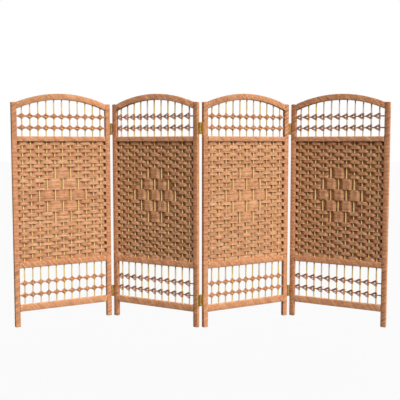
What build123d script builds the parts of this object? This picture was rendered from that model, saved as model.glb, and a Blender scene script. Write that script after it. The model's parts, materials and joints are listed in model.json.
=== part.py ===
from build123d import *
import os
from math import cos, radians, sin, sqrt

os.makedirs("parts", exist_ok=True)

# Four-panel woven screen, standing in a zigzag on the floor.
# X runs along the screen, Y from its front to its back, Z up.
# Origin: on the floor, under the middle of the standing screen.

# Whole screen
post_height = 1130.0
panel_width = 523.0
panel_turn = 30.0

# Frame members, over their fiber wrapping
post_face = 27.2
frame_depth = 20.4
wrap_thickness = 2.0
wrap_foot_gap = 1.2
wrap_joint_gap = 0.2
bottom_rail_low = 77.0
bottom_rail_height = 34.0
lower_rail_low = 297.5
lower_rail_height = 31.5
upper_rail_low = 934.0
upper_rail_height = 26.5
arch_rise = 47.0
arch_thickness = 31.0

# Dowels between rails and posts
dowel_radius = 4.0
dowel_depth = 12.0
dowel_clearance = 0.05

# Upright reeds
reed_count = 11
reed_pitch = 41.6
reed_diameter = 6.3
reed_clearance = 0.1
reed_seat = 14.0
reed_end_gap = 0.3

# Woven field
weft_count = 32
weft_gap = 0.3
weft_thickness = 2.4
weft_clearance = 0.2
weft_flat = 6.0
diamond_row = 14
diamond_row_step = 3
diamond_reach = 3

# Cord rows of the open lattice
lattice_rows = (158.6, 219.3, 1004.0, 1061.4)
lattice_rise = 13.5
lattice_cord = 2.4
knot_link = 4.6
arrow_link = 2.6
arrow_length = 28.0

# Butt hinges
hinge_heights = (135.0, 1000.0)
hinge_length = 60.0
pin_offset = 3.6
barrel_radius = 3.4
pin_radius = 1.6
pin_clearance = 0.05
pin_head_radius = 2.9
pin_head_height = 1.2
leaf_thickness = 1.5
leaf_reach = 22.0
knuckle_count = 3
knuckle_gap = 0.3
barrel_gap = 0.3

# Countersunk screws
screw_radius = 1.4
screw_head_radius = 2.7
screw_head_depth = 1.3
screw_length = 13.0
screw_clearance = 0.05
screw_edge = 8.0
screw_from_pin = 13.5
slot_width = 0.7
slot_depth = 0.5

# Worked out from the values above
core_depth = frame_depth - 2 * wrap_thickness
core_face = post_face - 2 * wrap_thickness
core_end = post_face - wrap_thickness
middle = panel_width / 2
reed_radius = reed_diameter / 2
reed_plane = frame_depth / 2
half_span = middle - post_face
arch_outer = (half_span**2 + arch_rise**2) / (2 * arch_rise)
arch_centre = post_height + arch_rise - arch_outer
arch_inner = arch_outer - arch_thickness
knuckle_length = hinge_length / knuckle_count
weave_low = lower_rail_low + lower_rail_height
weft_pitch = (upper_rail_low - weave_low) / weft_count
weft_offset = reed_radius + weft_clearance + weft_thickness / 2
lattice_depth = reed_radius + reed_clearance + lattice_cord
reed_places = [middle + (i - (reed_count - 1) / 2) * reed_pitch for i in range(reed_count)]
middle_reed = (reed_count - 1) // 2
rail_spans = [
    ("bottom_rail", bottom_rail_low, bottom_rail_height),
    ("lower_rail", lower_rail_low, lower_rail_height),
    ("upper_rail", upper_rail_low, upper_rail_height),
]

# Where each panel stands: its turn, and the front bottom corner of its left end
turn_cos = cos(radians(panel_turn))
turn_sin = sin(radians(panel_turn))
out_along = panel_width + pin_offset
out_back = frame_depth + pin_offset
centre_pin_y = (panel_width * turn_sin - frame_depth * turn_cos) / 2 - (
    out_along * turn_sin - out_back * turn_cos
)


def panel_axes(side):
    """The direction along a panel and its front normal; side is 1 or -1."""
    return Vector(turn_cos, side * turn_sin, 0), Vector(side * turn_sin, -turn_cos, 0)


rise_along, rise_normal = panel_axes(1)
fall_along, fall_normal = panel_axes(-1)
pin_b = Vector(0, centre_pin_y, 0)
corner_2 = pin_b - fall_along * out_along + fall_normal * out_back
corner_3 = pin_b + rise_along * pin_offset + rise_normal * out_back
pin_a = corner_2 - fall_along * pin_offset + fall_normal * pin_offset
corner_1 = pin_a - rise_along * out_along - rise_normal * pin_offset
pin_c = corner_3 + rise_along * out_along + rise_normal * pin_offset
corner_4 = pin_c + fall_along * pin_offset - fall_normal * pin_offset

# Name, corner, turn, cord knot, and the hinge at each end: face of the pin and leaf kind
panels = [
    ("panel_1", corner_1, 1, "knot", {"right": ("front", "inner")}),
    ("panel_2", corner_2, -1, "arrow", {"left": ("front", "outer"), "right": ("back", "outer")}),
    ("panel_3", corner_3, 1, "knot", {"left": ("back", "inner"), "right": ("front", "outer")}),
    ("panel_4", corner_4, -1, "arrow", {"left": ("front", "inner")}),
]


def save(piece, label):
    """Name one finished piece and write it out."""
    piece.part.label = label
    export_step(piece.part, f"parts/{label}.step")


def arch_height(radius, along):
    """Height of an arc of the arch at a distance along the panel."""
    return arch_centre + sqrt(radius**2 - (along - middle) ** 2)


def weft_in_front(row, reed):
    """Plain weave, turned over inside the stepped diamond at the middle."""
    step, left_over = divmod(abs(row - diamond_row), diamond_row_step)
    inside = left_over == 0 and step < diamond_reach and abs(reed - middle_reed) <= diamond_reach - step
    return (row + reed) % 2 == (1 if inside else 0)


def weft_line(row):
    """Points of one weft's centre line, along the panel and inwards."""
    in_front = [weft_in_front(row, reed) for reed in range(reed_count)]
    depth = [reed_plane - weft_offset if front else reed_plane + weft_offset for front in in_front]
    first = frame_depth - weft_thickness / 2 if in_front[0] else weft_thickness / 2
    last = frame_depth - weft_thickness / 2 if in_front[-1] else weft_thickness / 2
    points = [(post_face, first)]
    for place, inwards in zip(reed_places, depth):
        points += [(place - weft_flat, inwards), (place + weft_flat, inwards)]
    return points + [(panel_width - post_face, last)]


# Rows with the same line, by the heights of their upper edges
weft_tops = {}
for row in range(weft_count):
    weft_top = upper_rail_low - row * weft_pitch - weft_gap / 2
    weft_tops.setdefault(tuple(weft_line(row)), []).append(weft_top)


def lattice_outline(knot):
    """Upper edge of a cord row: along the panel and up from the row's middle."""
    link = knot_link if knot == "knot" else arrow_link
    points = [(post_face, link)]
    for place in reed_places:
        if knot == "knot":
            points += [(place - reed_pitch / 2 + 1.5, link), (place, lattice_rise)]
        else:
            points += [(place - arrow_length + reed_radius, link), (place - reed_radius, lattice_rise)]
            points += [(place + reed_radius, lattice_rise), (place + reed_radius + lattice_cord, link)]
    if knot == "knot":
        points.append((reed_places[-1] + reed_pitch / 2 - 1.5, link))
    return points + [(panel_width - post_face, link)]


def screw_spots(end, hinge_face):
    """Screw places on an end face, in that face's own two directions."""
    from_pin = screw_from_pin - pin_offset
    inwards = from_pin if hinge_face == "front" else frame_depth - from_pin
    sign = 1 if end == "right" else -1
    spread = hinge_length / 2 - screw_edge
    return [(sign * inwards, height + step) for height in hinge_heights for step in (-spread, 0, spread)]


for name, corner, side, knot, hinges in panels:
    along, normal = panel_axes(side)
    front = Plane(corner, x_dir=along, z_dir=normal)
    floor = Plane(corner, x_dir=along, z_dir=(0, 0, 1))
    core_front = front.offset(-wrap_thickness)
    ends = {
        "left": Plane(corner, x_dir=normal, z_dir=-along),
        "right": Plane(corner + along * panel_width, x_dir=-normal, z_dir=along),
    }

    # Holes that the reeds stand in
    with BuildPart() as reed_holes:
        for place in reed_places:
            low = bottom_rail_low + bottom_rail_height - reed_seat
            high = arch_height(arch_inner, place) + reed_seat + reed_end_gap
            with BuildSketch(floor.offset(low)):
                with Locations((place, reed_plane)):
                    Circle(reed_radius + reed_clearance)
            extrude(amount=high - low)

    # Holes for the dowels at both ends of every rail
    dowel_heights = [low + height / 2 for _, low, height in rail_spans]
    dowel_heights.append(arch_height(arch_outer - arch_thickness / 2, core_end))
    joint_faces = [
        Plane(corner + along * core_end, x_dir=-normal, z_dir=along),
        Plane(corner + along * (panel_width - core_end), x_dir=-normal, z_dir=along),
    ]
    with BuildPart() as dowel_holes:
        for face in joint_faces:
            with BuildSketch(face):
                with Locations(*[(reed_plane, height) for height in dowel_heights]):
                    Circle(dowel_radius + dowel_clearance)
            extrude(amount=dowel_depth + dowel_clearance, both=True)

    # Pilot holes for the hinge screws
    with BuildPart() as pilot_holes:
        for end, (hinge_face, _) in hinges.items():
            with BuildSketch(ends[end]):
                with Locations(*screw_spots(end, hinge_face)):
                    Circle(screw_radius + screw_clearance)
            extrude(amount=-screw_length)

    # Wooden posts
    for label, start in (("left_post", wrap_thickness), ("right_post", panel_width - core_end)):
        with BuildPart() as post:
            with BuildSketch(core_front):
                with Locations((start, 0)):
                    Rectangle(core_face, post_height - wrap_thickness, align=(Align.MIN, Align.MIN))
            extrude(amount=-core_depth)
            add(dowel_holes.part, mode=Mode.SUBTRACT)
            add(pilot_holes.part, mode=Mode.SUBTRACT)
        save(post, f"{name}_{label}")

    # Straight wooden rails
    for label, low, height in rail_spans:
        with BuildPart() as rail:
            with BuildSketch(core_front):
                with Locations((middle, low + height / 2)):
                    Rectangle(panel_width - 2 * core_end, height - 2 * wrap_thickness)
            extrude(amount=-core_depth)
            add(dowel_holes.part, mode=Mode.SUBTRACT)
            add(reed_holes.part, mode=Mode.SUBTRACT)
        save(rail, f"{name}_{label}")

    # Arched wooden top rail
    with BuildPart() as arch_rail:
        with BuildSketch(core_front):
            with Locations((middle, arch_centre)):
                Circle(arch_outer - wrap_thickness)
                Circle(arch_inner + wrap_thickness, mode=Mode.SUBTRACT)
            with Locations((middle, post_height)):
                Rectangle(panel_width - 2 * core_end, 4 * arch_thickness, mode=Mode.INTERSECT)
        extrude(amount=-core_depth)
        add(dowel_holes.part, mode=Mode.SUBTRACT)
        add(reed_holes.part, mode=Mode.SUBTRACT)
    save(arch_rail, f"{name}_arch_rail")

    # Fiber wrapping, one sleeve on each post, rail and the arch
    post_starts = (0, panel_width - post_face)
    sleeve_width = panel_width - 2 * post_face - 2 * wrap_joint_gap
    with BuildPart() as frame_wrapping:
        with BuildSketch(front):
            with Locations(*[(start, wrap_foot_gap) for start in post_starts]):
                Rectangle(post_face, post_height - wrap_foot_gap, align=(Align.MIN, Align.MIN))
        extrude(amount=-frame_depth)
        with BuildSketch(core_front):
            with Locations(*[(start + wrap_thickness, 0) for start in post_starts]):
                Rectangle(core_face, post_height - wrap_thickness, align=(Align.MIN, Align.MIN))
            for _, low, height in rail_spans:
                with Locations((middle, low + height / 2)):
                    Rectangle(panel_width - 2 * core_end, height - 2 * wrap_thickness)
        extrude(amount=-core_depth, mode=Mode.SUBTRACT)
        for _, low, height in rail_spans:
            with BuildSketch(front):
                with Locations((middle, low + height / 2)):
                    Rectangle(sleeve_width, height)
            extrude(amount=-frame_depth)
            with BuildSketch(core_front):
                with Locations((middle, low + height / 2)):
                    Rectangle(sleeve_width, height - 2 * wrap_thickness)
            extrude(amount=-core_depth, mode=Mode.SUBTRACT)
        with BuildSketch(front):
            with Locations((middle, arch_centre)):
                Circle(arch_outer)
                Circle(arch_inner, mode=Mode.SUBTRACT)
            with Locations((middle, post_height)):
                Rectangle(sleeve_width, 4 * arch_thickness, mode=Mode.INTERSECT)
        extrude(amount=-frame_depth)
        with BuildSketch(core_front):
            with Locations((middle, arch_centre)):
                Circle(arch_outer - wrap_thickness)
                Circle(arch_inner + wrap_thickness, mode=Mode.SUBTRACT)
            with Locations((middle, post_height)):
                Rectangle(panel_width - 2 * core_end, 4 * arch_thickness, mode=Mode.INTERSECT)
        extrude(amount=-core_depth, mode=Mode.SUBTRACT)
        add(reed_holes.part, mode=Mode.SUBTRACT)
        add(pilot_holes.part, mode=Mode.SUBTRACT)
    save(frame_wrapping, f"{name}_frame_wrapping")

    # Dowels
    with BuildPart() as rail_dowels:
        for face in joint_faces:
            with BuildSketch(face):
                with Locations(*[(reed_plane, height) for height in dowel_heights]):
                    Circle(dowel_radius)
            extrude(amount=dowel_depth, both=True)
    save(rail_dowels, f"{name}_rail_dowels")

    # Reeds
    with BuildPart() as reeds:
        for place in reed_places:
            low = bottom_rail_low + bottom_rail_height - reed_seat
            high = arch_height(arch_inner, place) + reed_seat
            with BuildSketch(floor.offset(low)):
                with Locations((place, reed_plane)):
                    Circle(reed_radius)
            extrude(amount=high - low)
    save(reeds, f"{name}_reeds")

    # Wefts, a flat band of strands in each row, in and out of the reeds
    with BuildPart() as weft_rows:
        for line, tops in weft_tops.items():
            near = [(place, inwards - weft_thickness / 2) for place, inwards in line]
            far = [(place, inwards + weft_thickness / 2) for place, inwards in line]
            with BuildSketch(*[floor.offset(top) for top in tops]):
                with BuildLine():
                    Polyline(*near, *reversed(far), close=True)
                make_face()
            extrude(amount=weft_gap - weft_pitch, clean=False)
    save(weft_rows, f"{name}_weft_rows")

    # Cord rows of the lattice, knotted round the reeds
    upper_edge = lattice_outline(knot)
    lower_edge = [(place, -up) for place, up in reversed(upper_edge)]
    with BuildPart() as lattice_cords:
        with BuildSketch(front.offset(-reed_plane)):
            for height in lattice_rows:
                with BuildLine():
                    Polyline(*[(place, height + up) for place, up in upper_edge + lower_edge], close=True)
                make_face()
        extrude(amount=lattice_depth, both=True)
        add(reed_holes.part, mode=Mode.SUBTRACT)
    save(lattice_cords, f"{name}_lattice_cords")

    # Hinge leaves and their screws
    for end, (hinge_face, kind) in hinges.items():
        out = 1 if end == "right" else -1
        end_along = panel_width if end == "right" else 0
        inward = 1 if hinge_face == "front" else -1
        pin_place = (end_along + out * pin_offset, reed_plane - inward * (reed_plane + pin_offset))
        leaf_centre = (end_along + out * leaf_thickness / 2, pin_place[1] + inward * leaf_reach / 2)
        notch = barrel_radius + barrel_gap
        own = [i for i in range(knuckle_count) if (i % 2 == 0) == (kind == "outer")]
        others = [i for i in range(knuckle_count) if i not in own]
        with BuildPart() as leaves:
            for height in hinge_heights:
                low = height - hinge_length / 2
                with BuildSketch(floor.offset(low + knuckle_gap / 2)):
                    with Locations(leaf_centre):
                        Rectangle(leaf_thickness, leaf_reach)
                extrude(amount=hinge_length - knuckle_gap)
                for i in others:
                    with BuildSketch(floor.offset(low + i * knuckle_length - knuckle_gap / 2)):
                        with Locations((leaf_centre[0], pin_place[1])):
                            Rectangle(2 * leaf_thickness, 2 * notch)
                    extrude(amount=knuckle_length + knuckle_gap, mode=Mode.SUBTRACT)
                for i in own:
                    with BuildSketch(floor.offset(low + i * knuckle_length + knuckle_gap / 2)):
                        with Locations(pin_place):
                            Circle(barrel_radius)
                    extrude(amount=knuckle_length - knuckle_gap)
                with BuildSketch(floor.offset(low)):
                    with Locations(pin_place):
                        Circle(pin_radius + pin_clearance)
                extrude(amount=hinge_length, mode=Mode.SUBTRACT)
            with BuildSketch(ends[end]):
                with Locations(*screw_spots(end, hinge_face)):
                    Circle(screw_radius + screw_clearance)
            extrude(amount=leaf_thickness, mode=Mode.SUBTRACT)
            with BuildSketch(ends[end].offset(leaf_thickness)):
                with Locations(*screw_spots(end, hinge_face)):
                    Circle(screw_head_radius + screw_clearance)
            extrude(amount=-screw_head_depth, taper=45, mode=Mode.SUBTRACT)
        save(leaves, f"{name}_{end}_hinge_leaves")

    with BuildPart() as hinge_screws:
        for end, (hinge_face, _) in hinges.items():
            spots = screw_spots(end, hinge_face)
            with BuildSketch(ends[end].offset(leaf_thickness)):
                with Locations(*spots):
                    Circle(screw_head_radius)
            extrude(amount=-screw_head_depth, taper=45)
            with BuildSketch(ends[end].offset(leaf_thickness)):
                with Locations(*spots):
                    Circle(screw_radius)
            extrude(amount=-screw_length)
            with BuildSketch(ends[end].offset(leaf_thickness)):
                with Locations(*spots):
                    Rectangle(slot_width, 3 * screw_head_radius)
            extrude(amount=-slot_depth, mode=Mode.SUBTRACT)
    save(hinge_screws, f"{name}_hinge_screws")

# Hinge pins, with a flat head on the top knuckle
for label, place in (("left_hinge_pins", pin_a), ("middle_hinge_pins", pin_b), ("right_hinge_pins", pin_c)):
    with BuildPart() as hinge_pins:
        for height in hinge_heights:
            top = height + hinge_length / 2 - knuckle_gap / 2
            with BuildSketch(Plane(place).offset(top)):
                Circle(pin_radius)
            extrude(amount=knuckle_gap - hinge_length)
            with BuildSketch(Plane(place).offset(top)):
                Circle(pin_head_radius)
            extrude(amount=pin_head_height)
    save(hinge_pins, label)
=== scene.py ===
import bpy
import json
import numpy as np
from math import cos, hypot, pi, radians, sin
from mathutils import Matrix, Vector


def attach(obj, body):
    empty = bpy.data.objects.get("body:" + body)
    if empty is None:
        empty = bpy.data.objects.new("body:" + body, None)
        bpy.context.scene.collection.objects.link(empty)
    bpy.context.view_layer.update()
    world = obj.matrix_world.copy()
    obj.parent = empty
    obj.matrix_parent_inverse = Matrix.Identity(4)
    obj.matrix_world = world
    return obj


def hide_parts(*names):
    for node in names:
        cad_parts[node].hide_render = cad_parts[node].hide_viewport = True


# Looks of the four-panel woven screen: paper-fiber strands woven round reeds,
# knotted into lattices, and wound over the wooden frames. Metres throughout.

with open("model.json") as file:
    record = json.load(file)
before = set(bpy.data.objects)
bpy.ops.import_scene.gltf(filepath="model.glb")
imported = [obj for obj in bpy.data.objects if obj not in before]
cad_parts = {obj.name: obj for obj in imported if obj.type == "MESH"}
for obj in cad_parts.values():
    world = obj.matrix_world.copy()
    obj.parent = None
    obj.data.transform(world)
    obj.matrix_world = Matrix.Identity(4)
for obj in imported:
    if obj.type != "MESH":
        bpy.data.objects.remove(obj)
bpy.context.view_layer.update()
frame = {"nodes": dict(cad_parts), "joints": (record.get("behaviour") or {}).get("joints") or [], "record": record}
print("frame loaded")

mm = 0.001
tiny = 1e-12  # lengths that differ by less count as the same
upward = np.array([0.0, 0.0, 1.0])
scene = bpy.context.scene
scene.view_settings.view_transform = "Standard"

panelSize = {
    "turn": radians(30), "width": 523 * mm, "postHeight": 1130 * mm,
    "postFace": 27.2 * mm, "depth": 20.4 * mm, "pinOffset": 3.6 * mm,
    "reedCount": 11, "reedPitch": 41.6 * mm, "reedRadius": 3.15 * mm,
    "bottomRail": (77 * mm, 111 * mm), "lowerRail": (297.5 * mm, 329 * mm),
    "upperRail": (934 * mm, 960.5 * mm), "archRise": 47 * mm, "archThickness": 31 * mm,
}
width = panelSize["width"]
depth = panelSize["depth"]
postFace = panelSize["postFace"]
postMiddles = (postFace / 2, width - postFace / 2)
reedPlane = depth / 2
middleReed = (panelSize["reedCount"] - 1) / 2
reedPlaces = width / 2 + (np.arange(panelSize["reedCount"]) - middleReed) * panelSize["reedPitch"]
weaveLow = panelSize["lowerRail"][1]
weaveHigh = panelSize["upperRail"][0]
halfSpan = width / 2 - postFace
archOuter = (halfSpan**2 + panelSize["archRise"] ** 2) / (2 * panelSize["archRise"])
archInner = archOuter - panelSize["archThickness"]
archCentre = panelSize["postHeight"] + panelSize["archRise"] - archOuter


# Where each panel stands, worked out from the hinge pins of the frame

def panelFrames():
    # for each panel: its corner, the direction along it and the direction inwards from its front
    pins = {j["name"]: np.array(j["pos_m"]) for j in frame["joints"]}
    turn, pin = panelSize["turn"], panelSize["pinOffset"]
    rise = (np.array([cos(turn), sin(turn), 0.0]), np.array([-sin(turn), cos(turn), 0.0]))
    fall = (np.array([cos(turn), -sin(turn), 0.0]), np.array([sin(turn), cos(turn), 0.0]))
    left, middle, right = pins["left_fold"], pins["middle_fold"], pins["right_fold"]
    return {
        "panel_1": (left - rise[0] * (width + pin) + rise[1] * pin, *rise),
        "panel_2": (left + fall[0] * pin + fall[1] * pin, *fall),
        "panel_3": (middle + rise[0] * pin - rise[1] * (depth + pin), *rise),
        "panel_4": (right + fall[0] * pin + fall[1] * pin, *fall),
    }


panels = panelFrames()


def toWorld(panelName, local):
    # local holds (along the panel, inwards from its front, up) in its last axis
    corner, along, inward = panels[panelName]
    return corner + local[..., :1] * along + local[..., 1:2] * inward + local[..., 2:] * upward


# Surfaces

def unit(v):
    # v divided by its length
    return v / np.maximum(np.linalg.norm(v, axis=-1, keepdims=True), tiny)


def tubeSurface(paths, across, acrossRadius, otherRadius, sides, tint, shade=0.0, turnUv=0.0):
    # Point = path + across * ra * cos(a) + side * rs * sin(a), for a running once round the section.
    # paths is (tubes, rings, 3); across, one direction or one for each ring, is roughly square to
    # the path; shade is 0 in the open and 1 in a recess.
    tubes, rings = paths.shape[:2]
    tangent = unit(np.gradient(paths, axis=1))
    across = unit(across - (across * tangent).sum(-1, keepdims=True) * tangent)
    side = np.cross(tangent, across)
    angle = 2 * pi * np.arange(sides) / sides
    ra = np.broadcast_to(acrossRadius, (tubes, rings))[..., None, None]
    rs = np.broadcast_to(otherRadius, (tubes, rings))[..., None, None]
    ring = (paths[:, :, None] + across[:, :, None] * ra * np.cos(angle)[:, None]
            + side[:, :, None] * rs * np.sin(angle)[:, None])
    points = np.concatenate([ring.reshape(-1, 3), paths[:, [0, -1]].reshape(-1, 3)])
    steps = np.linalg.norm(np.diff(paths, axis=1), axis=-1)
    length = np.concatenate([np.zeros((tubes, 1)), np.cumsum(steps, axis=1)], axis=1)
    i, j, k = np.meshgrid(np.arange(tubes), np.arange(rings - 1), np.arange(sides), indexing="ij")
    here = (i * rings + j) * sides
    after = (k + 1) % sides
    quads = np.stack([here + k, here + after, here + sides + after, here + sides + k], -1).reshape(-1, 4)
    u0, u1 = length[i, j], length[i, j + 1]
    v0, v1 = k / sides + turnUv, (k + 1) / sides + turnUv
    quadUv = np.stack([u0, v0, u0, v1, u1, v1, u1, v0], -1).reshape(-1, 4, 2)
    i, k = np.meshgrid(np.arange(tubes), np.arange(sides), indexing="ij")
    after = (k + 1) % sides
    firstRing, lastRing = i * rings * sides, (i * rings + rings - 1) * sides
    endPoint = tubes * rings * sides + 2 * i
    startTris = np.stack([endPoint, firstRing + after, firstRing + k], -1).reshape(-1, 3)
    endTris = np.stack([endPoint + 1, lastRing + k, lastRing + after], -1).reshape(-1, 3)
    tint = np.broadcast_to(tint, (tubes, rings))
    pointTint = np.concatenate([np.repeat(tint.reshape(-1), sides), tint[:, [0, -1]].reshape(-1)])
    shade = np.broadcast_to(shade, (tubes, rings, sides))
    pointShade = np.concatenate([shade.reshape(-1), shade[:, [0, -1]].mean(-1).reshape(-1)])
    return points, quads, quadUv, np.concatenate([startTris, endTris]), pointTint, pointShade


def buildPiece(name, surfaces, material, body, replaced):
    # one mesh of all the surfaces, set from the panel's own directions into the frame's
    points, loops, starts, uvs, tints, shades = [], [], [], [], [], []
    pointCount, loopCount = 0, 0
    for localPoints, quads, quadUv, tris, pointTint, pointShade in surfaces:
        points.append(toWorld(body, localPoints))
        tints.append(pointTint)
        shades.append(pointShade)
        loops += [(quads + pointCount).reshape(-1), (tris + pointCount).reshape(-1)]
        starts += [loopCount + 4 * np.arange(len(quads)),
                   loopCount + quads.size + 3 * np.arange(len(tris))]
        uvs += [quadUv.reshape(-1, 2), np.zeros((tris.size, 2))]
        pointCount += len(localPoints)
        loopCount += quads.size + tris.size
    mesh = bpy.data.meshes.new(name)
    mesh.vertices.add(pointCount)
    mesh.vertices.foreach_set("co", np.concatenate(points).astype(np.float32).ravel())
    mesh.loops.add(loopCount)
    mesh.loops.foreach_set("vertex_index", np.concatenate(loops).astype(np.int32))
    allStarts = np.concatenate(starts)
    mesh.polygons.add(len(allStarts))
    mesh.polygons.foreach_set("loop_start", allStarts.astype(np.int32))
    mesh.polygons.foreach_set("use_smooth", np.ones(len(allStarts), bool))
    mesh.update(calc_edges=True)
    uvLayer = mesh.uv_layers.new(name="UVMap")
    uvLayer.data.foreach_set("uv", np.concatenate(uvs).astype(np.float32).ravel())
    for layerName, values in (("tint", tints), ("shade", shades)):
        layer = mesh.attributes.new(layerName, "FLOAT", "POINT")
        layer.data.foreach_set("value", np.concatenate(values).astype(np.float32))
    mesh.materials.append(material)
    piece = bpy.data.objects.new(name, mesh)
    scene.collection.objects.link(piece)
    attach(piece, body)
    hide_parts(replaced)


unevenness = {"wavelengths": (40, 17, 8), "stretch": (0.75, 1.3), "spread": 2.2}


def wander(rng, shape, count, size):
    # smooth unevenness along the last axis: a sum of sines of random phase, each about as many
    # samples long as its wavelength, and about as high as size
    x = np.arange(count)
    total = np.zeros((*shape, count))
    for wavelength in unevenness["wavelengths"]:
        phase = rng.uniform(0, 2 * pi, (*shape, 1))
        stretch = rng.uniform(*unevenness["stretch"], (*shape, 1))
        total += np.sin(2 * pi * x / (wavelength * stretch) + phase)
    return total * size / unevenness["spread"]


# Materials

def newMaterial(name):
    material = bpy.data.materials.new(name)
    material.use_nodes = True
    tree = material.node_tree
    return material, tree, tree.nodes["Principled BSDF"]


def addNode(tree, kind, **settings):
    # a setting whose name starts with in_ goes to the input socket of that name
    made = tree.nodes.new(kind)
    for key, value in settings.items():
        if key.startswith("in_"):
            made.inputs[key[3:].replace("_", " ")].default_value = value
        else:
            setattr(made, key, value)
    return made


def mathNode(tree, operation, first, second=0.0):
    made = addNode(tree, "ShaderNodeMath", operation=operation)
    for index, value in enumerate((first, second)):
        if isinstance(value, (int, float)):
            made.inputs[index].default_value = value
        else:
            tree.links.new(value, made.inputs[index])
    return made.outputs[0]


def weightedSum(tree, *parts):
    # each part is a socket and its weight; the sum is taken in their order
    terms = [mathNode(tree, "MULTIPLY", socket, weight) for socket, weight in parts]
    total = terms[0]
    for term in terms[1:]:
        total = mathNode(tree, "ADD", total, term)
    return total


def rampNode(tree, fac, stops):
    # stops are places from 0 to 1 with their colours
    made = addNode(tree, "ShaderNodeValToRGB")
    ramp = made.color_ramp
    while len(ramp.elements) < len(stops):
        ramp.elements.new(0.5)
    for element, (place, colour) in zip(ramp.elements, stops):
        element.position = place
        element.color = (*colour, 1)
    tree.links.new(fac, made.inputs["Fac"])
    return made.outputs["Color"]


def noiseNode(tree, scale, detail, roughness=0.5):
    # scale is one number, or one for each direction
    coords = addNode(tree, "ShaderNodeTexCoord")
    stretch = addNode(tree, "ShaderNodeMapping", in_Scale=np.broadcast_to(scale, 3).astype(float))
    made = addNode(tree, "ShaderNodeTexNoise", in_Scale=1.0, in_Detail=detail, in_Roughness=roughness)
    tree.links.new(coords.outputs["Object"], stretch.inputs["Vector"])
    tree.links.new(stretch.outputs["Vector"], made.inputs["Vector"])
    return made.outputs["Fac"]


def shadeColour(tree, shader, colour, keep):
    # base colour = colour * keep
    scaled = addNode(tree, "ShaderNodeVectorMath", operation="SCALE")
    tree.links.new(colour, scaled.inputs[0])
    tree.links.new(keep, scaled.inputs["Scale"])
    tree.links.new(scaled.outputs[0], shader.inputs["Base Color"])


def outOfRecess(tree, darkest):
    # 1 in the open and 1 - darkest where the shade attribute is 1
    shade = addNode(tree, "ShaderNodeAttribute", attribute_name="shade")
    return mathNode(tree, "SUBTRACT", 1.0, mathNode(tree, "MULTIPLY", shade.outputs["Fac"], darkest))


def bumpSurface(tree, shader, height, strength, distance):
    bump = addNode(tree, "ShaderNodeBump", in_Strength=strength, in_Distance=distance)
    tree.links.new(height, bump.inputs["Height"])
    tree.links.new(bump.outputs["Normal"], shader.inputs["Normal"])


fiberLook = {
    "twistPitch": 9 * mm, "ridges": 2, "ridgeHeight": 0.5, "blotchScale": 45.0, "blotchDetail": 3.0,
    "grainScale": 900.0, "grainDetail": 4.0, "grainRoughness": 0.7,
    "blotch": 0.45, "strand": 0.5, "grain": 0.25, "ridge": 0.05,
    "roughness": 0.72, "specular": 0.3, "bump": 0.55, "bumpDepth": 0.5 * mm,
    # painted shade: how much the grooves between strands and the recesses are darkened
    "groove": 0.8, "grooveEdge": 3.0, "recess": 0.5,
    "tones": [(0.1, (0.20, 0.072, 0.028)), (0.45, (0.55, 0.242, 0.110)), (0.66, (0.70, 0.338, 0.165)),
              (0.95, (0.86, 0.49, 0.27))],
}


def fiberMaterial(name, **changes):
    look = {**fiberLook, **changes}
    material, tree, shader = newMaterial(name)
    coords = addNode(tree, "ShaderNodeTexCoord")
    uvParts = addNode(tree, "ShaderNodeSeparateXYZ")
    tree.links.new(coords.outputs["UV"], uvParts.inputs[0])
    lengthways, roundways = uvParts.outputs[:2]
    tint = addNode(tree, "ShaderNodeAttribute", attribute_name="tint")
    # twisted paper: slanting ridges that climb round the strand
    climb = mathNode(tree, "MULTIPLY", lengthways, 1 / look["twistPitch"])
    twist = mathNode(tree, "ADD", climb, roundways)
    ridge = mathNode(tree, "SINE", mathNode(tree, "MULTIPLY", twist, 2 * pi * look["ridges"]))
    blotch = noiseNode(tree, look["blotchScale"], look["blotchDetail"])
    grain = noiseNode(tree, look["grainScale"], look["grainDetail"], look["grainRoughness"])
    tone = weightedSum(tree, (blotch, look["blotch"]), (tint.outputs["Fac"], look["strand"]),
                       (grain, look["grain"]), (ridge, look["ridge"]))
    # painted shade: recesses and the grooves between neighbouring strands are darkened
    fromTop = mathNode(tree, "COSINE", mathNode(tree, "MULTIPLY", roundways, 2 * pi))
    groove = mathNode(tree, "POWER", mathNode(tree, "ABSOLUTE", fromTop), look["grooveEdge"])
    outOfGroove = mathNode(tree, "SUBTRACT", 1.0, mathNode(tree, "MULTIPLY", groove, look["groove"]))
    keep = mathNode(tree, "MULTIPLY", outOfRecess(tree, look["recess"]), outOfGroove)
    shadeColour(tree, shader, rampNode(tree, tone, look["tones"]), keep)
    shader.inputs["Roughness"].default_value = look["roughness"]
    shader.inputs["Specular IOR Level"].default_value = look["specular"]
    height = mathNode(tree, "ADD", mathNode(tree, "MULTIPLY", ridge, look["ridgeHeight"]), grain)
    bumpSurface(tree, shader, height, look["bump"], look["bumpDepth"])
    return material


peelLook = {
    "streakScale": (600, 600, 12), "streakDetail": 4.0, "blotchScale": 22.0, "blotchDetail": 2.0,
    "streak": 0.6, "blotch": 0.4, "paintedShadow": 0.75, "roughness": 0.45, "bump": 0.3, "bumpDepth": 0.2 * mm,
    "tones": [(0.3, (0.48, 0.31, 0.09)), (0.5, (0.69, 0.49, 0.175)), (0.7, (0.82, 0.63, 0.29))],
}


def reedMaterial():
    # pale peeled reed: long fine streaks up the stick, soft blotches, and painted shadow where it enters a rail
    material, tree, shader = newMaterial("peeledReed")
    streak = noiseNode(tree, peelLook["streakScale"], peelLook["streakDetail"])
    blotch = noiseNode(tree, peelLook["blotchScale"], peelLook["blotchDetail"])
    tone = weightedSum(tree, (streak, peelLook["streak"]), (blotch, peelLook["blotch"]))
    colour = rampNode(tree, tone, peelLook["tones"])
    shadeColour(tree, shader, colour, outOfRecess(tree, peelLook["paintedShadow"]))
    shader.inputs["Roughness"].default_value = peelLook["roughness"]
    bumpSurface(tree, shader, streak, peelLook["bump"], peelLook["bumpDepth"])
    return material


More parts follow.
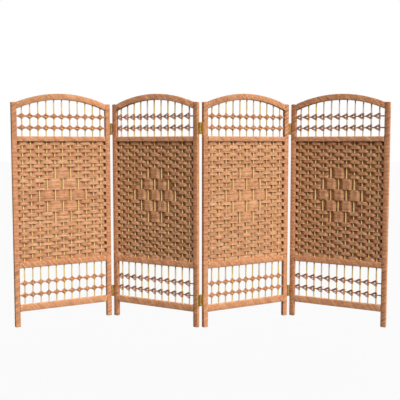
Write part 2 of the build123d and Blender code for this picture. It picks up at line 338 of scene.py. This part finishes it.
timberLook = {
    "grainScale": (160, 160, 14), "grainDetail": 5.0, "roughness": 0.7,
    "tones": [(0.3, (0.22, 0.10, 0.045)), (0.7, (0.40, 0.21, 0.10))],
}


def woodMaterial():
    # brown wood with its grain running up
    material, tree, shader = newMaterial("frameWood")
    grain = noiseNode(tree, timberLook["grainScale"], timberLook["grainDetail"])
    colour = rampNode(tree, grain, timberLook["tones"])
    tree.links.new(colour, shader.inputs["Base Color"])
    shader.inputs["Roughness"].default_value = timberLook["roughness"]
    return material


hingeLook = {
    "brushScale": (2500, 2500, 120), "brushDetail": 3.0, "spotScale": 90.0, "spotDetail": 3.0,
    "roughness": 0.22, "brushing": 0.25, "metallic": 1.0,
    "tones": [(0.35, (0.42, 0.28, 0.085)), (0.6, (0.62, 0.45, 0.16))],
}


def brassMaterial():
    # plated brass, a little dulled, with faint brushing up the hinge
    material, tree, shader = newMaterial("dulledBrass")
    brushed = noiseNode(tree, hingeLook["brushScale"], hingeLook["brushDetail"])
    spots = noiseNode(tree, hingeLook["spotScale"], hingeLook["spotDetail"])
    tree.links.new(rampNode(tree, spots, hingeLook["tones"]), shader.inputs["Base Color"])
    brushing = mathNode(tree, "MULTIPLY", brushed, hingeLook["brushing"])
    rough = mathNode(tree, "ADD", brushing, hingeLook["roughness"])
    tree.links.new(rough, shader.inputs["Roughness"])
    shader.inputs["Metallic"].default_value = hingeLook["metallic"]
    return material


wovenPaint = fiberMaterial("wovenFiber")
wrappedPaint = fiberMaterial("wrappedFiber", strand=0.55, groove=0.7, grooveEdge=5.0, blotchScale=70.0,
                             blotch=0.55)
knottedPaint = fiberMaterial("knottedFiber", specular=0.1, groove=0.3, grooveEdge=5.0, blotch=0.35)
reedPaint = reedMaterial()
print("materials made")


# Weave

weave = {
    "rows": 32, "strands": 4, "sides": 6, "gapSamples": 9, "endSamples": 6,
    "strandHigh": 2.75 * mm, "strandDeep": 1.4 * mm, "frontHeight": 1.0, "backHeight": 1.07,
    "squareness": 1.1, "crossingLag": 1.4, "pillow": 0.2 * mm, "reedBite": 0.3 * mm,
    "tint": 0.56, "strandVaries": 0.22, "strandRange": (0.2, 0.95), "lengthVaries": 0.25,
    "endInset": 2.6 * mm, "unevenUp": 0.22 * mm, "unevenDeep": 0.4 * mm,
    "diamondRow": 14, "diamondStep": 3, "diamondReach": 3, "rowGroove": 0.6, "openShade": 0.1,
    "recessWidth": 6 * mm, "endTuck": 2.2 * mm, "postRecess": 13 * mm, "underRail": 4 * mm,
}
rowHeight = (weaveHigh - weaveLow) / weave["rows"]


def weftSides():
    # +1 where a row passes in front of a reed; turned over inside the stepped diamond
    row, reed = np.meshgrid(np.arange(weave["rows"]), np.arange(panelSize["reedCount"]), indexing="ij")
    step, rest = np.divmod(np.abs(row - weave["diamondRow"]), weave["diamondStep"])
    reach = weave["diamondReach"]
    inside = (rest == 0) & (step < reach) & (np.abs(reed - middleReed) <= reach - step)
    return np.where((row + reed) % 2 == np.where(inside, 1, 0), 1.0, -1.0)


def weftShade(along, knotPlaces, wave, offCentre, up):
    # shade is high on the open side of a strand that dives behind a reed or a post,
    # on the outer edges of a row, and close under the upper rail
    angle = 2 * pi * np.arange(weave["sides"]) / weave["sides"]
    spread = np.full(len(knotPlaces), weave["recessWidth"])
    spread[[0, -1]] = weave["postRecess"]
    near = np.exp(-(((along[:, None] - knotPlaces) / spread) ** 2)).max(1)
    buried = np.clip(-wave[..., None] * np.sin(angle) + weave["openShade"], 0, 1) * near[:, None]
    outermost = (np.abs(offCentre) == 1)[..., None]
    edge = np.clip(offCentre[..., None] * np.cos(angle), 0, 1) ** 2 * outermost
    belowRail = weaveHigh - weave["strandHigh"] - up
    covered = np.exp(-((belowRail / weave["underRail"]) ** 2))[..., None]
    shade = np.clip(buried + edge * weave["rowGroove"] + covered, 0, 1)
    return shade.reshape(-1, len(along), weave["sides"])


def weftStrands(rng):
    # Each strand: along = steady; inwards = reed plane - reach * wave, a sharpened cosine from reed to reed,
    # with more reach for the middle strands of a row; up = row middle + strand offset * swell.
    sides = weftSides()
    rows, strands = weave["rows"], weave["strands"]
    nearReach = panelSize["reedRadius"] + weave["strandDeep"] - weave["reedBite"]
    endWave = (reedPlane - weave["endInset"]) / nearReach
    knots = np.concatenate([-sides[:, :1] * endWave, sides, -sides[:, -1:] * endWave], axis=1)
    tucked = postFace - weave["endTuck"]
    knotPlaces = np.concatenate([[tucked], reedPlaces, [width - tucked]])
    gaps = len(knotPlaces) - 1
    counts = [weave["endSamples"]] + [weave["gapSamples"]] * (gaps - 2) + [weave["endSamples"]]
    gap = np.append(np.repeat(np.arange(gaps), counts), gaps - 1)
    x = np.concatenate([np.arange(count) / count for count in counts] + [[1.0]])
    along = knotPlaces[gap] + (knotPlaces[gap + 1] - knotPlaces[gap]) * x
    start, end = knots[:, gap], knots[:, gap + 1]
    lag = weave["crossingLag"]
    late = np.where(end > start, 1 - (1 - x) ** lag, x**lag)
    wave = start + (end - start) * (0.5 - 0.5 * np.cos(pi * late))
    inner = np.clip(wave, -1, 1)
    wave = (wave + weave["squareness"] * inner * (1 - inner**2))[:, None]
    clipped = np.clip(wave, -1, 1)
    swell = 1 + np.where(clipped > 0, weave["frontHeight"] - 1, weave["backHeight"] - 1) * clipped**2
    rowMiddle = weaveHigh - (np.arange(rows) + 0.5) * rowHeight
    place = (np.arange(strands) - (strands - 1) / 2)[None, :, None] / strands
    offCentre = place / place.max()
    shape = (rows, strands)
    up = rowMiddle[:, None, None] + place * rowHeight * swell
    up = up + wander(rng, shape, len(along), weave["unevenUp"])
    up = np.clip(up, weaveLow + weave["strandHigh"], weaveHigh - weave["strandHigh"])
    reach = nearReach + weave["pillow"] * (1 - offCentre**2) * np.abs(clipped)
    inwards = reedPlane - reach * wave + wander(rng, (rows, 1), len(along), weave["unevenDeep"])
    inwards = np.clip(inwards, weave["endInset"], depth - weave["endInset"])
    paths = np.stack([np.broadcast_to(along, up.shape), inwards, up], -1).reshape(-1, len(along), 3)
    tint = rng.normal(weave["tint"], weave["strandVaries"], (*shape, 1)).clip(*weave["strandRange"])
    tint = tint + wander(rng, shape, len(along), weave["lengthVaries"])
    shade = weftShade(along, knotPlaces, clipped, offCentre, up)
    return [tubeSurface(paths, upward, weave["strandHigh"], weave["strandDeep"], weave["sides"],
                        tint.reshape(-1, len(along)), shade)]


# Winding over the frame

winding = {
    "post": {"strands": 8, "pitch": 41 * mm, "handed": -1, "tint": 0.2, "overlap": 1.06, "rowShade": 0.0},
    "rail": {"strands": 16, "pitch": 82 * mm, "handed": 1, "tint": 0.28, "overlap": 1.06, "rowShade": 0.0},
    "level": {"strands": 4, "pitch": rowHeight, "handed": -1, "tint": 0.2, "overlap": 1.22, "rowShade": 0.14,
              "climb": (10, 14)},
    "cap": {"strands": 4, "samples": 11, "inset": 2.9 * mm, "drop": 3.0 * mm, "sharpness": 6,
            "halfWidth": 2.5 * mm, "tint": 0.5, "varies": 0.12},
    "strandThick": 1.15 * mm, "cornerRadius": 1.8 * mm, "sides": 6, "uneven": 0.18 * mm,
    "strandVaries": 0.14, "lengthVaries": 0.2, "foot": 1.2 * mm, "belowTop": 1.5 * mm, "turnUv": 0.25,
}

# round the member: which face, and the outward direction, at sixteen places
ringAngles = np.array([0, 0, 45, 90, 90, 90, 135, 180, 180, 180, 225, 270, 270, 270, 315, 360])
ringAcross = np.array([1, 1, 1, 1, 0, -1, -1, -1, -1, -1, -1, -1, 0, 1, 1, 1])
ringDeep = np.array([0, 1, 1, 1, 1, 1, 1, 1, 0, -1, -1, -1, -1, -1, -1, -1])


def windMember(rng, place, start, end, halfAcross, lay):
    # Strands wound side by side. Strand s of n starts at the corner where s / n of a turn is reached:
    # distance along the member = pitch * (turns + share of a turn - s / n), held between its ends;
    # across and deep = corner middle + corner radius * direction, for a rounded-rectangle turn.
    perTurn = len(ringAngles)
    strands, pitch, handed = lay["strands"], lay["pitch"], lay["handed"]
    radius, thick = winding["cornerRadius"], winding["strandThick"]
    angle = np.radians(ringAngles)
    halfDeep = depth / 2
    nominal = halfAcross(np.array([(start + end) / 2]))[0]
    corner = np.stack([ringAcross * (nominal - radius) + radius * np.cos(angle),
                       ringDeep * (halfDeep - radius) + radius * np.sin(angle)], -1)
    steps = np.linalg.norm(np.diff(np.concatenate([corner, corner[:1]]), axis=0), axis=1)
    share = np.concatenate([[0], np.cumsum(steps)]) / steps.sum()
    if "climb" in lay:  # square to the post in front, climbing to the next turn only across its back
        first, last = share[list(lay["climb"])]
        share = np.clip((share - first) / (last - first), 0, 1)
    strandWidth = pitch / strands
    low, high = start + strandWidth / 2, end - strandWidth / 2
    lead = perTurn // strands
    turns = int(np.ceil((high - low) / pitch)) + 1
    count = turns * perTurn + 2 * lead
    offset = np.arange(strands)[:, None] / strands
    index = np.arange(count)[None] - lead + np.searchsorted(share[:-1], offset)
    turn, spot = np.divmod(index, perTurn)
    axis = np.clip(low + (turn + share[spot] - offset) * pitch, low, high)
    keep = int(np.max(np.sum(axis < high - tiny, axis=1))) + lead + 1
    axis, spot = axis[:, :keep], spot[:, :keep]
    outAcross, outDeep = np.cos(angle)[spot], np.sin(angle)[spot]
    across = ringAcross[spot] * (halfAcross(axis) - thick - radius) + radius * outAcross
    deep = ringDeep[spot] * (halfDeep - thick - radius) + radius * outDeep
    axis = axis + wander(rng, (strands,), axis.shape[1], winding["uneven"])
    paths = place(axis, across * handed, deep)
    outward = place(axis, (across + outAcross * mm) * handed, deep + outDeep * mm) - paths
    tint = rng.normal(lay["tint"], winding["strandVaries"], (strands, 1))
    tint = tint + wander(rng, (strands,), axis.shape[1], winding["lengthVaries"])
    # painted shade: the first strand of each turn is darkened by the lay's row value, a dark line between the rows
    shade = np.zeros((strands, 1, 1))
    shade[0] = lay["rowShade"]
    around = 4 * (nominal + halfDeep)
    slanted = hypot(pitch, around) / around
    halfWidth = strandWidth / 2 * lay["overlap"] / slanted
    return tubeSurface(paths, outward, thick, halfWidth, winding["sides"], tint, shade, winding["turnUv"])


def postPlace(middle):
    # for an upright member: along = middle + across, inwards = reed plane - deep, up = axis
    return lambda axis, across, deep: np.stack([middle + across, reedPlane - deep, axis], -1)


def railPlace(middle):
    # for a lying member: along = axis, inwards = reed plane - deep, up = middle height there + across
    return lambda axis, across, deep: np.stack([axis, reedPlane - deep, middle(axis) + across], -1)


def steady(value):
    # the same value all along a member
    return lambda axis: np.full_like(axis, value)


def archHeight(radius, along):
    # up = centre of the arch + root of (radius squared - distance from the panel's middle squared)
    return archCentre + np.sqrt(radius**2 - (along - width / 2) ** 2)


def archMiddle(along):
    # halfway between the upper and the lower edge
    return (archHeight(archOuter, along) + archHeight(archInner, along)) / 2


def archHalf(along):
    # half the height from the lower to the upper edge
    return (archHeight(archOuter, along) - archHeight(archInner, along)) / 2


def postCaps(rng):
    # strands laid over each post's top: along = steady across it from x = -1 to 1,
    # up = top - drop * x to the power of the sharpness
    cap = winding["cap"]
    thick = winding["strandThick"]
    x = np.linspace(-1, 1, cap["samples"])
    reach = postFace / 2 - thick
    up = panelSize["postHeight"] - thick - cap["drop"] * x ** cap["sharpness"]
    inset = cap["inset"]
    lines = []
    for middle in postMiddles:
        for inwards in np.linspace(inset, depth - inset, cap["strands"]):
            lines.append(np.stack([middle + reach * x, np.full_like(x, inwards), up], -1))
    tint = rng.normal(cap["tint"], cap["varies"], (len(lines), 1))
    return tubeSurface(np.stack(lines), upward, thick, cap["halfWidth"], winding["sides"], tint,
                       turnUv=winding["turnUv"])


def frameWinding(rng):
    # slanting on the posts below and above the weave, level beside it, slanting on the rails and the arch
    post, level, rail = winding["post"], winding["level"], winding["rail"]
    zones = ((winding["foot"], weaveLow, post), (weaveLow, weaveHigh, level),
             (weaveHigh, panelSize["postHeight"] - winding["belowTop"], post))
    made = []
    for middle in postMiddles:
        for low, high, lay in zones:
            made.append(windMember(rng, postPlace(middle), low, high, steady(postFace / 2), lay))
    beams = [(steady((low + high) / 2), steady((high - low) / 2))
             for low, high in (panelSize["bottomRail"], panelSize["lowerRail"], panelSize["upperRail"])]
    for middle, half in (*beams, (archMiddle, archHalf)):
        made.append(windMember(rng, railPlace(middle), postFace, width - postFace, half, rail))
    made.append(postCaps(rng))
    return made


# Knotted lattice cords

lattice = {
    "rows": (158.6 * mm, 219.3 * mm, 1004 * mm, 1061.4 * mm), "sides": 6, "clearance": 0.1 * mm,
    "strandVaries": 0.12, "lengthVaries": 0.15, "softness": 1.8 * mm, "softSamples": 7,
    "coilRadius": 4.1 * mm, "coilHigh": 1.6 * mm, "coilThick": 0.95 * mm, "coilReach": 14.5 * mm,
    "coilSamples": 10,
}

# each shape says in mm how far a cord lies above the row's middle, by its distance from the reed;
# each side says whether it passes behind or in front
loopKnot = {
    "radius": 2.25 * mm, "tint": 0.37, "samples": 20, "endSamples": 3, "crossing": 9 * mm,
    "coilStart": 4.6 * mm, "coilTurns": 3,
    "shapes": {
        "outer": ([-20.8, -17, -3, 3, 13, 20.8], [2.0, 2.6, 10.4, 10.4, 3.0, 2.0]),
        "middle": ([-20.8, -15, -3, 3, 11, 20.8], [1.2, 2.0, 6.9, 6.9, 2.2, 1.2]),
        "inner": ([-20.8, -8, -2.5, 2.5, 7, 20.8], [1.6, 1.9, 3.3, 3.3, 1.9, 1.6]),
    },
    "sides": {"outer": 1, "middle": -1, "inner": 1},
}
arrowKnot = {
    # painted shade: the arrow cords lie on panels 2 and 4, turned away from the lamp, and get a darker tint than
    # the loop cords
    "radius": 2.45 * mm, "tint": 0.16, "span": (-27 * mm, 1 * mm), "samples": 12, "coilTurns": 9,
    "bendLength": 18 * mm, "bendPower": 1.2, "bendDepth": 0.82, "tailLength": 27 * mm,
    "tailSpread": 0.2, "apart": 0.35,
    "linkStart": 24 * mm, "linkSamples": 10, "linkTurns": 1.25, "linkRadius": 2.3 * mm,
    "linkTwist": 1.5 * mm,
    "shapes": {
        "outer": ([-27, -24, -3, 1], [1.6, 2.9, 13.8, 14.6]),
        "inner": ([-26, -15, -4, 1], [1.4, 2.6, 7.8, 8.5]),
    },
    "sides": {"outer": -1, "inner": 1},
}


def smoothShape(shape, x):
    # the shape's straight stretches, averaged over a little way to round their corners
    places, heights = (np.array(v) * mm for v in shape)
    soft = np.linspace(-1, 1, lattice["softSamples"]) * lattice["softness"]
    return np.mean([np.interp(x + shift, places, heights) for shift in soft], axis=0)


def cordTubes(rng, lines, tint, high, thick):
    # one tube along each line; its tint = the given tint + a part of its own + a part that varies along it
    paths = np.stack(lines)
    tints = rng.normal(tint, lattice["strandVaries"], (len(paths), 1))
    tints = tints + wander(rng, (len(paths),), paths.shape[1], lattice["lengthVaries"])
    return tubeSurface(paths, upward, high, thick, lattice["sides"], tints)


def coil(rng, reed, low, high, turns):
    # a cord wound round the reed: along and inwards = reed + radius * cosine and sine of the turn,
    # up = steady from low to high
    x = np.linspace(0, 1, turns * lattice["coilSamples"] + 1)
    angle = 2 * pi * turns * x + rng.uniform(0, 2 * pi)
    radius = lattice["coilRadius"]
    return np.stack([reed + radius * np.cos(angle), reedPlane + radius * np.sin(angle),
                     low + (high - low) * x], -1)


def reedClearance(radius):
    # from the middle of a reed to the middle of a cord that passes it
    return panelSize["reedRadius"] + radius + lattice["clearance"]


def loopKnots(rng, middle):
    # Cords run along the row between reeds and open into a loop at each reed: up = row middle +- shape;
    # inwards = reed plane -+ clearance, swapping sides from reed to reed. Two coils bind each loop.
    radius = loopKnot["radius"]
    half = loopKnot["samples"] // 2
    x = np.arange(-half, half) / loopKnot["samples"] * panelSize["reedPitch"]
    along = (reedPlaces[:, None] + x).reshape(-1)
    ends = loopKnot["endSamples"]
    first = np.linspace(postFace, along[0], ends + 1)[:-1]
    last = np.linspace(along[-1], width - postFace, ends + 1)[1:]
    along = np.concatenate([first, along, last])
    near = np.exp(-(((along[:, None] - reedPlaces) / loopKnot["crossing"]) ** 2))
    swap = np.where(np.arange(len(reedPlaces)) % 2 == 0, 1, -1)
    lines = []
    for kind, side in loopKnot["sides"].items():
        height = np.pad(np.tile(smoothShape(loopKnot["shapes"][kind], x), len(reedPlaces)), ends, "edge")
        for sign in (-1, 1):
            atReed = (near * swap * side).sum(1) * reedClearance(radius)
            between = (1 - near.sum(1).clip(0, 1)) * (sign * side * radius)
            lines.append(np.stack([along, reedPlane - atReed - between, middle + sign * height], -1))
    cords = cordTubes(rng, lines, loopKnot["tint"], radius, radius)
    coils = [coil(rng, reed, middle + sign * loopKnot["coilStart"], middle + sign * lattice["coilReach"],
                  loopKnot["coilTurns"]) for reed in reedPlaces for sign in (-1, 1)]
    return [cords, cordTubes(rng, coils, loopKnot["tint"], lattice["coilHigh"], lattice["coilThick"])]


def arrowKnots(rng, middle):
    # Four cords spread from each reed and meet before it: up = row middle +- shape; inwards = reed plane -+
    # a bend that grows towards the reed. Two twisted cords link the arrows: inwards and up = middle +
    # twist * cosine and sine of the turn. One coil binds each arrow to its reed.
    radius = arrowKnot["radius"]
    x = np.linspace(*arrowKnot["span"], arrowKnot["samples"])
    bend = np.clip(1 + x / arrowKnot["bendLength"], 0, 1) ** arrowKnot["bendPower"]
    spread = (1 - np.clip(1 + x / arrowKnot["tailLength"], 0, 1)) * radius * arrowKnot["tailSpread"]
    away = reedClearance(radius) * arrowKnot["bendDepth"] * bend + spread + radius * arrowKnot["apart"]
    lines = []
    for reed in reedPlaces:
        for sign in (-1, 1):
            for kind, side in arrowKnot["sides"].items():
                up = middle + sign * smoothShape(arrowKnot["shapes"][kind], x)
                lines.append(np.stack([np.maximum(reed + x, postFace), reedPlane + side * away, up], -1))
    cords = cordTubes(rng, lines, arrowKnot["tint"], radius, radius)
    links = []
    twist = arrowKnot["linkTwist"]
    x = np.linspace(0, 1, arrowKnot["linkSamples"])
    ends = np.concatenate([reedPlaces[1:] - arrowKnot["linkStart"], [width - postFace]])
    for start, end in zip(reedPlaces, ends):
        for halfTurn in (0, pi):
            turn = 2 * pi * arrowKnot["linkTurns"] * x + halfTurn
            links.append(np.stack([start + (end - start) * x, reedPlane + twist * np.cos(turn),
                                   middle + twist * np.sin(turn)], -1))
    linked = cordTubes(rng, links, arrowKnot["tint"], arrowKnot["linkRadius"], arrowKnot["linkRadius"])
    reach = lattice["coilReach"]
    coils = [coil(rng, reed, middle - reach, middle + reach, arrowKnot["coilTurns"]) for reed in reedPlaces]
    bound = cordTubes(rng, coils, arrowKnot["tint"], lattice["coilHigh"], lattice["coilThick"])
    return [cords, linked, bound]


def latticeCords(panelName, rng):
    # arrows on panels 2 and 4, loops on 1 and 3
    knots = arrowKnots if panelName in ("panel_2", "panel_4") else loopKnots
    return [surface for middle in lattice["rows"] for surface in knots(rng, middle)]


# Reeds

reedLook = {
    "radius": 3.5 * mm, "radiusVaries": (0.95, 1.05), "rings": 90, "sides": 10, "tint": 0.5,
    "foot": 99 * mm, "sunkTop": 9 * mm, "bow": 0.5 * mm, "bowWaves": (2, 4),
    "nodeEvery": 230 * mm, "nodeSwell": 0.4 * mm, "nodeLength": 4 * mm, "paintedShadowLength": 5 * mm,
}


def reedSticks(rng):
    # up = steady from foot to arch; along and inwards = place + slow bow;
    # radius = plain + a swelling at each node
    count, sides = len(reedPlaces), reedLook["sides"]
    x = np.linspace(0, 1, reedLook["rings"])
    underArch = archHeight(archInner, reedPlaces)[:, None]
    up = reedLook["foot"] + (underArch + reedLook["sunkTop"] - reedLook["foot"]) * x
    bowHeight = rng.uniform(-1, 1, (2, count, 1)) * reedLook["bow"]
    bow = bowHeight * np.sin(pi * x * rng.uniform(*reedLook["bowWaves"], (2, count, 1)))
    paths = np.stack([reedPlaces[:, None] + bow[0], reedPlane + bow[1], up], -1)
    spacing = reedLook["nodeEvery"]
    fromNode = (up + rng.uniform(0, spacing, (count, 1))) % spacing - spacing / 2
    radius = reedLook["radius"] * rng.uniform(*reedLook["radiusVaries"], (count, 1))
    radius = radius + reedLook["nodeSwell"] * np.exp(-((fromNode / reedLook["nodeLength"]) ** 2))
    # painted shadow: the reed is darkened just below the arch and just below the lower rail, where it goes in
    entries = (underArch, panelSize["lowerRail"][0])
    shade = sum(np.exp(-(((up - entry) / reedLook["paintedShadowLength"]) ** 2)) for entry in entries)
    shade = np.repeat(np.clip(shade, 0, 1)[..., None], sides, axis=-1)
    sideways = np.array([1.0, 0.0, 0.0])
    return [tubeSurface(paths, sideways, radius, radius, sides, reedLook["tint"], shade)]


firstSeed = 40  # each panel has its own unevenness
for number, panelName in enumerate(panels):
    rng = np.random.default_rng(firstSeed + number)
    buildPiece(f"{panelName}_weft_strands", weftStrands(rng), wovenPaint, panelName,
               f"{panelName}_weft_rows")
    buildPiece(f"{panelName}_frame_winding", frameWinding(rng), wrappedPaint, panelName,
               f"{panelName}_frame_wrapping")
    buildPiece(f"{panelName}_knotted_cords", latticeCords(panelName, rng), knottedPaint, panelName,
               f"{panelName}_lattice_cords")
    buildPiece(f"{panelName}_reed_sticks", reedSticks(rng), reedPaint, panelName,
               f"{panelName}_reeds")
    print(panelName, "woven and wound")

# Finishes on the pieces of the frame that show

finishes = {"reed": reedPaint, "frame_wood": woodMaterial(), "brass": brassMaterial()}
slotOf = {row["node"]: row["material_slot"] for row in frame["record"]["subparts"]}
for nodeName, node in frame["nodes"].items():
    finish = finishes.get(slotOf[nodeName])
    if finish:
        node.data.materials.clear()
        node.data.materials.append(finish)
print("finishes put on")

# Floor, light and camera

stageLook = {
    "floorSize": 60.0, "floorColour": (0.06, 0.06, 0.06), "floorRoughness": 0.9, "showShadow": 0.05,
    "worldLight": 0.04, "white": (1, 1, 1, 1), "whiteStrength": 1.0, "lampDistance": 5.0,
}


def seenDirectly(tree):
    # 1 for rays from the camera, off something glossy or through something clear, else 0
    path = addNode(tree, "ShaderNodeLightPath")
    mirrored = mathNode(tree, "MAXIMUM", path.outputs["Is Glossy Ray"], path.outputs["Is Transmission Ray"])
    return mathNode(tree, "MAXIMUM", path.outputs["Is Camera Ray"], mirrored)


def mixToOutput(tree, share, lighting, shown, outputName):
    # the first shader lights the object, the second is what is seen
    mix = addNode(tree, "ShaderNodeMixShader")
    tree.links.new(share, mix.inputs["Fac"])
    tree.links.new(lighting.outputs[0], mix.inputs[1])
    tree.links.new(shown.outputs[0], mix.inputs[2])
    tree.links.new(mix.outputs[0], tree.nodes[outputName].inputs["Surface"])


def buildFloor():
    mesh = bpy.data.meshes.new("floor")
    half = stageLook["floorSize"] / 2
    corners = [(-half, -half, 0), (half, -half, 0), (half, half, 0), (-half, half, 0)]
    mesh.from_pydata(corners, [], [(0, 1, 2, 3)])
    floor = bpy.data.objects.new("floor", mesh)
    scene.collection.objects.link(floor)
    material, tree, shader = newMaterial("paleFloor")
    shader.inputs["Base Color"].default_value = (*stageLook["floorColour"], 1)
    shader.inputs["Roughness"].default_value = stageLook["floorRoughness"]
    glow = addNode(tree, "ShaderNodeEmission", in_Color=stageLook["white"],
                   in_Strength=stageLook["whiteStrength"])
    share = mathNode(tree, "MULTIPLY", seenDirectly(tree), 1 - stageLook["showShadow"])
    mixToOutput(tree, share, shader, glow, "Material Output")
    mesh.materials.append(material)


def buildWorld():
    world = bpy.data.worlds.new("paleRoom")
    scene.world = world
    world.use_nodes = True
    tree = world.node_tree
    background = tree.nodes["Background"]
    background.inputs["Color"].default_value = stageLook["white"]
    background.inputs["Strength"].default_value = stageLook["worldLight"]
    white = addNode(tree, "ShaderNodeBackground", in_Color=stageLook["white"],
                    in_Strength=stageLook["whiteStrength"])
    mixToOutput(tree, seenDirectly(tree), background, white, "World Output")


def softSun(name, azimuth, elevation, softness, strength):
    # azimuth is measured from straight in front towards the right
    data = bpy.data.lights.new(name, "SUN")
    data.energy = strength
    data.angle = radians(softness)
    lamp = bpy.data.objects.new(name, data)
    turn, lift = radians(azimuth), radians(elevation)
    towards = Vector((sin(turn) * cos(lift), -cos(turn) * cos(lift), sin(lift)))
    lamp.rotation_euler = towards.to_track_quat("Z", "Y").to_euler()
    lamp.location = towards * stageLook["lampDistance"]
    scene.collection.objects.link(lamp)


# the photograph's view, with its focal length and width in pixels, tilted down a little
viewPoint = {"place": (-3.0 * mm, -3647.2 * mm, 931.1 * mm), "focalPixels": 708.9, "imagePixels": 400,
             "tiltDown": radians(4.66), "sensorWidth": 36.0}


def buildCamera():
    data = bpy.data.cameras.new("camera")
    data.sensor_width = viewPoint["sensorWidth"]
    data.lens = viewPoint["focalPixels"] / viewPoint["imagePixels"] * data.sensor_width
    camera = bpy.data.objects.new("camera", data)
    camera.location = viewPoint["place"]
    camera.rotation_euler = (pi / 2 - viewPoint["tiltDown"], 0, 0)
    scene.collection.objects.link(camera)
    scene.camera = camera


buildFloor()
buildWorld()
# azimuth, elevation, softness in degrees, then strength
lamps = {"keyLamp": (36, 42, 40, 5.25), "backLamp": (160, 35, 20, 2.4)}
for lampName, lamp in lamps.items():
    softSun(lampName, *lamp)
buildCamera()
print("floor, light and camera set")
